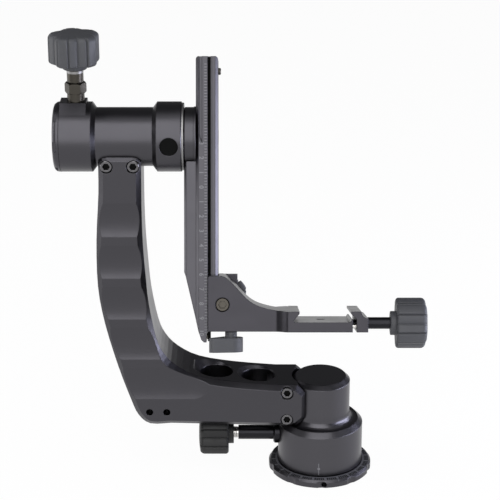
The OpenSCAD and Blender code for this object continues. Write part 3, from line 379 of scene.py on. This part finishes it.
def bars(places):
    """One mesh of thin boxes: each matrix carries a unit cube to its place."""
    mesh = bmesh.new()
    for place in places:
        bmesh.ops.create_cube(mesh, size=1, matrix=place)
    return mesh


def bar(middle, size, turn=HEAD):
    """The matrix of one box, from its middle, its size and a turn about the origin."""
    return turn @ Matrix.Translation(middle) @ Matrix.Diagonal((*size, 1))


def flat_ring(inner, outer, foot, top, steps=96):
    """A ring round Z with four edges, from its two radii and its two heights."""
    profile = ((inner, foot), (inner, top), (outer, top), (outer, foot))
    mesh = bmesh.new()
    rings = [[mesh.verts.new((r * math.cos(a), r * math.sin(a), h)) for r, h in profile]
             for a in (math.tau * i / steps for i in range(steps))]
    for ring, after in zip(rings, rings[1:] + rings[:1]):
        for k in range(len(profile)):
            mesh.faces.new((ring[k - 1], ring[k], after[k], after[k - 1]))
    return mesh


print("swing frame at", [round(v, 3) for v in SWING.translation])

# %% [markdown]
# ## Marks
# The numerals and ticks are etched by a laser, which bleaches the anodised skin to a
# light grey. They have no depth that the eye could see, so each is a thin raised plate.
# Deep narrow recesses send back almost no light, and a dull black paints that shade.
# The same black fills the disc's engraved lines. The ring under the disc's lines is
# dull too: etching takes the gloss off the metal.


# %% Etched and filled marks
def flat_mark(name, colour, roughness=0.6, ior=1.45):
    """Even, dull colour, as a bleached or filled mark has."""
    material, tree, output = new_material(name)
    dull = add(tree, "ShaderNodeBsdfPrincipled", {
        "Base Color": linear(colour), "Roughness": roughness, "IOR": ior})
    tree.links.new(dull.outputs[0], output.inputs["Surface"])
    return material


etched_mark = flat_mark("laser_etched_mark", "#77777b")
faint_mark = flat_mark("faint_etched_mark", "#5b5b60")
black_fill_and_painted_shade = flat_mark("black_fill_and_painted_recess_shade", "#030303", 0.85, 1.25)
engraved_line = flat_mark("engraved_black_line", "#0c0c0d")
etched_ring = flat_mark("etched_aluminium_ring", "#545459")
# The port plug is black, and this near-black also paints the shade of its recess.
dress(nodes["port_plug"], black_fill_and_painted_shade)
print("marks:", etched_mark.name, faint_mark.name, black_fill_and_painted_shade.name, engraved_line.name, etched_ring.name)

# %% [markdown]
# ### The rail's scale
# A scale runs up the front of the rail beside its clamping groove: a tick every
# 2 millimetres and a numeral every 10, counted down from 10 to 0 and up again. The
# numerals lie on their side, with their heads towards the groove. The groove itself is
# deeper than it is wide, so a dark strip on its floor paints the shade there.

# %% Shade in the groove, and ticks
SCALE_FOOT = -134.9        # the lowest numeral, measured from the tilt axis along the rail
SCALE_TOP = 52
RAIL_FRONT = -15
TICK_STEP = 2
TICK_X, TICK_LENGTH, TICK_WIDTH = -82.0, 1.8, 0.5

GROOVE_BACK = -12
GROOVE_X, GROOVE_WIDTH = -79.65, 2.06
GROOVE_MIDDLE, GROOVE_LENGTH = -43.5, 195
SHADE_LIFT, SHADE_THICKNESS = 0.08, 0.06
# A dark strip on the groove's floor paints the shade of the deep, narrow groove.
shade_size = (GROOVE_WIDTH, SHADE_THICKNESS, GROOVE_LENGTH)
shade = bar((GROOVE_X, GROOVE_BACK - SHADE_LIFT, GROOVE_MIDDLE), shade_size)
piece("rail_groove_shade", bars([shade]), black_fill_and_painted_shade, "swing", SWING)

tick_count = int((SCALE_TOP - SCALE_FOOT) / TICK_STEP)
heights = [SCALE_FOOT + TICK_STEP * i for i in range(tick_count)]
tick_size = (TICK_LENGTH, 2 * PAINT, TICK_WIDTH)
ticks = bars([bar((TICK_X, RAIL_FRONT, height), tick_size) for height in heights])
piece("rail_scale_ticks", ticks, etched_mark, "swing", SWING)

print("ticks:", tick_count)

# %% Numerals
NUMERALS = [*range(10, -1, -1), 1, 2, 3]
NUMERAL_STEP = 10
NUMERAL_X, NUMERAL_SIZE = -85.1, 4.2
STROKE_SWELL = 0.09        # how much bolder than the font each stroke is

sideways = Matrix(((0, 1, 0, 0), (0, 0, -1, 0), (-1, 0, 0, 0), (0, 0, 0, 1)))
for i, number in enumerate(NUMERALS):
    name = "rail_numeral_%02d" % i
    text = bpy.data.curves.new(name, "FONT")
    text.body = str(number)
    text.size = NUMERAL_SIZE * MM
    text.extrude = PAINT * MM
    text.offset = STROKE_SWELL * MM
    text.align_x = "CENTER"
    text.align_y = "CENTER"
    text.materials.append(etched_mark)
    numeral = bpy.data.objects.new(name, text)
    spot = Vector((NUMERAL_X, RAIL_FRONT, SCALE_FOOT + NUMERAL_STEP * i)) * MM
    numeral.matrix_world = SWING @ Matrix.Translation(spot) @ sideways
    bpy.context.scene.collection.objects.link(numeral)
    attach(numeral, "swing")
print("numerals:", len(NUMERALS))

# %% [markdown]
# ### The index disc
# The disc under the housing carries a ring of engraved lines, one every 2.5 degrees,
# filled black. Every 15 degrees a light line takes the place of a black one and runs on
# down the bevel. The housing above has one light line with a dot, to read them against.

# %% Ring of lines on the disc
DISC_TOP = 5.8
BEVEL_INNER = 35.9
BEVEL_DROP = 1.7
FIRST_LIGHT = 5            # degrees from the front to the nearest light line
LINE_COUNT, LINES_PER_GROUP = 144, 6
LINE_STEP = 360 / LINE_COUNT
RING_INNER, RING_OUTER = 31.4, 35.8
RING_TOP = DISC_TOP + 0.02
SUNK = 0.2                 # how far each ring reaches into the solid under it
DARK_MIDDLE, DARK_LENGTH, DARK_WIDTH = 34.3, 2.9, 0.9
LIGHT_MIDDLE, LIGHT_LENGTH, LIGHT_WIDTH = 34.7, 2.2, 0.4
BEVEL_LINE_LENGTH = 1.6

ring = flat_ring(RING_INNER, RING_OUTER, DISC_TOP - SUNK, RING_TOP)
piece("disc_etched_ring", ring, etched_ring, "base")

dark_size = (DARK_LENGTH, DARK_WIDTH, 2 * PAINT)
light_size = (LIGHT_LENGTH, LIGHT_WIDTH, 2 * PAINT)
bevel_size = Matrix.Diagonal((BEVEL_LINE_LENGTH, LIGHT_WIDTH, 2 * PAINT, 1))
slope = Matrix.Rotation(math.radians(45), 4, "Y")
middle = Matrix.Translation((BEVEL_INNER + BEVEL_DROP / 2, 0, DISC_TOP - BEVEL_DROP / 2))
dark, light = [], []
for i in range(LINE_COUNT):
    about = Matrix.Rotation(math.radians(FIRST_LIGHT - 90 + LINE_STEP * i), 4, "Z")
    if i % LINES_PER_GROUP:
        dark.append(bar((DARK_MIDDLE, 0, RING_TOP), dark_size, about))
    else:
        light.append(bar((LIGHT_MIDDLE, 0, RING_TOP), light_size, about))
        light.append(about @ middle @ slope @ bevel_size)
piece("disc_black_lines", bars(dark), black_fill_and_painted_shade, "base")
piece("disc_light_lines", bars(light), faint_mark, "base")
print("lines:", len(dark), "black,", len(light) // 2, "light")

# %% Index mark on the housing
HOUSING_RADIUS = 30.9
INDEX_TURN = -93.5         # degrees from the X axis
INDEX_HEIGHT, INDEX_LENGTH, INDEX_WIDTH = 11.9, 9.0, 0.45
DOT_HEIGHT, DOT_RADIUS = 12.2, 1.0
about = Matrix.Rotation(math.radians(INDEX_TURN), 4, "Z")
index = bars([bar((HOUSING_RADIUS, 0, INDEX_HEIGHT), (2 * PAINT, INDEX_WIDTH, INDEX_LENGTH), about)])
dot_place = Matrix.Translation((HOUSING_RADIUS, 0, DOT_HEIGHT)) @ Matrix.Rotation(math.pi / 2, 4, "Y")
bmesh.ops.create_cone(index, cap_ends=True, segments=24, radius1=DOT_RADIUS, radius2=DOT_RADIUS,
                      depth=2 * PAINT, matrix=about @ dot_place)
piece("housing_index_mark", index, etched_mark, "arm")
print("index mark at", round(HOUSING_RADIUS, 1), "mm from the pan axis")

# %% [markdown]
# ## Threads
# Between its sleeve and its knob the stud of the pan lock shows about two turns of bright
# thread. The solid is a plain rod at the root of the thread, so the ridge is wound
# round it: a triangle swept along a helix.


# %% Thread on the pan lock's stud
def ridge(root, crest, pitch, length, steps=32):
    """A helical ridge round Z, starting at z = 0."""
    mesh = bmesh.new()
    half_foot = pitch * 0.4
    rows = []
    for i in range(int(length / pitch * steps) + 1):
        angle, height = math.tau * i / steps, pitch * i / steps
        shape = ((root, height - half_foot), (crest, height), (root, height + half_foot))
        rows.append([mesh.verts.new((r * math.cos(angle), r * math.sin(angle), h)) for r, h in shape])
    for row, after in zip(rows, rows[1:]):
        for k in range(3):
            mesh.faces.new((row[k - 1], row[k], after[k], after[k - 1]))
    mesh.faces.new(rows[0])
    mesh.faces.new(rows[-1][::-1])
    return mesh


PAN_LOCK_HEIGHT = 26.6
STUD_RADIUS = 4.0
KNOB_FOOT = -63.65
TILT_LOCK_X = joints["tilt_lock_turn"]["pos_m"][0] / MM
CREST_HEIGHT, ROOT_SUNK = 0.4, 0.1
PITCH, THREAD_LENGTH = 1.1, 2.2
THREAD_GAP = 0.1           # from the knob's foot to the first turn

thread_start = Matrix.Translation(Vector((KNOB_FOOT + THREAD_GAP, 0, PAN_LOCK_HEIGHT)) * MM)
towards_sleeve = thread_start @ Matrix.Rotation(math.pi / 2, 4, "Y")
thread = ridge(STUD_RADIUS - ROOT_SUNK, STUD_RADIUS + CREST_HEIGHT, PITCH, THREAD_LENGTH)
piece("pan_lock_thread", thread, bright_steel, "pan_lock_knob", towards_sleeve, smooth=True)
print("thread crest radius", STUD_RADIUS + CREST_HEIGHT, "mm")

# %% [markdown]
# ## Lobed knobs
# A knob is moulded with five lobes. Between two lobes two shallow facets meet in a
# valley, where a finger rests, and a fine groove parts them from the lobes. The solid
# has the plain form with round hollows, so each knob is shown with a skin instead. This
# is the skin's outline in plan.

# %% Outline of the knobs
KNOB_RADIUS = 17.75
KNOB_LENGTH = 25.5
KNOB_HUB_RADIUS, HUB_LENGTH = 8.35, 3.8
LOBES = 5
EDGE_STEP, VALLEY, EDGE_GROOVE, VALLEY_LINE = 0.4, 2.5, 1.7, 0.5      # depths in millimetres
GROOVE_SPREAD, LINE_SPREAD = 1.6, 2.0      # half widths in degrees
VALLEY_HALF = 22.5         # degrees from the valley to the groove beside a lobe


def lobed_radius(angle):
    """Distance from the knob's axis to its outline, for an angle in degrees from a valley."""
    off = abs((angle + 180 / LOBES) % (360 / LOBES) - 180 / LOBES)
    facet = EDGE_STEP + VALLEY * (1 - off / VALLEY_HALF) if off < VALLEY_HALF else 0
    groove = EDGE_GROOVE * math.exp(-((off - VALLEY_HALF) / GROOVE_SPREAD) ** 2)
    line = VALLEY_LINE * math.exp(-(off / LINE_SPREAD) ** 2)
    return KNOB_RADIUS - facet - (groove + line)


print("deepest hollow:", round(KNOB_RADIUS - lobed_radius(0), 2), "mm")

# %% [markdown]
# The profile gives the height of each row of the skin and how far the outline is set in
# there. It rises along the hub, goes round the foot's edge and the top's edge, and ends
# in a low crown, where the lobes fade out.


# %% Profile of the knobs
FOOT_ROUND, TOP_ROUND = 2.0, 3.4
FOOT_ROWS, TOP_ROWS = 7, 6
ROW_STEP = 15              # degrees of the rounding from row to row
CROWN = 0.9                # how far the top's middle stands above its rounded edge
HUB_ROWS = ((-0.3, 0), (0, 0.3), (0, 3.6), (0, HUB_LENGTH), (0.2, HUB_LENGTH))      # added radius, height
CROWN_ROWS = ((0.4, 0.85, 1), (3, 0.45, 0.6), (7, 0.1, 0.1))      # inset, depth below the top, lobe share


def knob_rows():
    """Rows of the skin from foot to top: the hub's radius or None, inset, height and lobe share."""
    rows = [(KNOB_HUB_RADIUS + added, 0, height, 0) for added, height in HUB_ROWS]
    for i in range(FOOT_ROWS):
        turn = math.radians(ROW_STEP * i)
        height = HUB_LENGTH + FOOT_ROUND * (1 - math.cos(turn))
        rows.append((None, FOOT_ROUND * (1 - math.sin(turn)), height, 1))
    for i in range(TOP_ROWS):
        turn = math.radians(ROW_STEP * i)
        height = KNOB_LENGTH - CROWN - TOP_ROUND * (1 - math.sin(turn))
        rows.append((None, TOP_ROUND * (1 - math.cos(turn)), height, 1))
    for inset, depth, share in CROWN_ROWS:
        rows.append((None, TOP_ROUND + inset, KNOB_LENGTH - depth, share))
    return rows


print("rows of a knob's skin:", len(knob_rows()))

# %% [markdown]
# The skin joins the rows with faces. A solid knob that has a skin over it is hidden, and
# the skin turns with the same body.


# %% Skins over the four knobs
KNOB_STEPS = 360


def knob_skin(turn):
    """The knob standing on z = 0, its first valley turned by an angle in degrees."""
    mesh = bmesh.new()
    rings = []
    for hub, inset, height, share in knob_rows():
        ring = []
        for i in range(KNOB_STEPS):
            angle = 360 * i / KNOB_STEPS
            body = lobed_radius(angle - turn) * share + KNOB_RADIUS * (1 - share) - inset
            radius = body if hub is None else hub
            there = math.radians(angle)
            ring.append(mesh.verts.new((radius * math.cos(there), radius * math.sin(there), height)))
        rings.append(ring)
    for ring, after in zip(rings, rings[1:]):
        for k in range(KNOB_STEPS):
            mesh.faces.new((ring[k - 1], ring[k], after[k], after[k - 1]))
    mesh.faces.new(rings[0][::-1])
    mesh.faces.new(rings[-1])
    return mesh


def knob(name, node, body, material, place, turn):
    """A knob's skin, set over its solid and shown in its stead."""
    made = piece(name, knob_skin(turn), material, body, place, smooth=True)
    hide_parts(node)


LENS_KNOB_FOOT = Vector((45.7, 0, -129.4))
CLAMP_KNOB_FOOT = Vector((-70.5, 22.3, -115.17))
TILT_KNOB_FOOT = Vector((TILT_LOCK_X, 0, 303.7))
PAN_KNOB_FOOT = Vector((KNOB_FOOT, 0, PAN_LOCK_HEIGHT))
PAN_TURN, TILT_TURN, LENS_TURN = -9, -4, -20      # how each knob was left, in degrees
to_left = Matrix.Rotation(-math.pi / 2, 4, "Y")
to_right = Matrix.Rotation(math.pi / 2, 4, "Y")
to_back = Matrix.Rotation(-math.pi / 2, 4, "X")
# The pan lock's skin is in the darker rubber, which paints shade on it.
knob("pan_lock_knob_skin", "pan_lock_knob", "pan_lock_knob", knob_rubber_painted_shade,
     Matrix.Translation(PAN_KNOB_FOOT * MM) @ to_left, PAN_TURN)
knob("tilt_lock_knob_skin", "tilt_lock_knob", "tilt_lock_knob", soft_touch,
     Matrix.Translation(TILT_KNOB_FOOT * MM), TILT_TURN)
knob("lens_clamp_knob_skin", "lens_knob", "lens_knob", soft_touch,
     SWING @ Matrix.Translation(LENS_KNOB_FOOT * MM) @ to_right, LENS_TURN)
knob("cradle_clamp_knob_skin", "cradle_knob", "cradle_knob", soft_touch,
     SWING @ Matrix.Translation(CLAMP_KNOB_FOOT * MM) @ to_back, 0)
print("knob skins:", KNOB_STEPS, "steps round,", LOBES, "lobes")

# %% [markdown]
# ## Small rings
# The end cap meets the housing in a joint that shows as a fine dark line. Under the
# upper knob the lock's shank looks bright, so a polished band goes round it.

# %% Seam and polished band
HUB_RADIUS = 24.3
CAP_JOINT = -182.2
SHANK_RADIUS = 5.7
SEAM_HALF = 0.14
BAND_FOOT, BAND_TOP = 301.0, 302.8
BAND_PROUD = 0.04
across = Matrix.Translation((0, 0, TILT_HEIGHT * MM)) @ Matrix.Rotation(math.pi / 2, 4, "Y")
seam = flat_ring(HUB_RADIUS - SUNK, HUB_RADIUS + PAINT, CAP_JOINT - SEAM_HALF, CAP_JOINT + SEAM_HALF)
piece("end_cap_seam", seam, engraved_line, "arm", across)

band = flat_ring(SHANK_RADIUS - SUNK, SHANK_RADIUS + BAND_PROUD, BAND_FOOT, BAND_TOP, steps=64)
piece("tilt_lock_polished_band", band, satin_steel, "tilt_lock_knob",
      Matrix.Translation((TILT_LOCK_X * MM, 0, 0)))
print("seam radius", HUB_RADIUS, "mm, band", round(BAND_TOP - BAND_FOOT, 1), "mm high")

# %% [markdown]
# ## Dark sockets
# The hexagon sockets of the arm's bolts are deep and narrow, so hardly any light comes
# back out of them. A black floor in each socket paints that shade.

# %% Painted shade in the sockets of the arm's bolts
SOCKET_RADIUS = 2.62
SOCKET_FLOOR = 18.9        # distance from the arm's middle plane
FLOOR_THICKNESS = 0.1
BOLT_PLACES = ((-150.4, 239.6), (-132.0, 239.6), (-25.0, 46.7), (-25.0, 67.7))      # X and Z
socket_shades = bmesh.new()
for x, z in BOLT_PLACES:
    for side in (-1, 1):
        flat = Matrix.Translation((x, side * SOCKET_FLOOR, z)) @ Matrix.Rotation(math.pi / 2, 4, "X")
        bmesh.ops.create_cone(socket_shades, cap_ends=True, segments=6, radius1=SOCKET_RADIUS, radius2=SOCKET_RADIUS,
                              depth=FLOOR_THICKNESS, matrix=flat)
piece("arm_bolt_socket_painted_shade", socket_shades, black_fill_and_painted_shade, "arm")
print("sockets:", 2 * len(BOLT_PLACES))
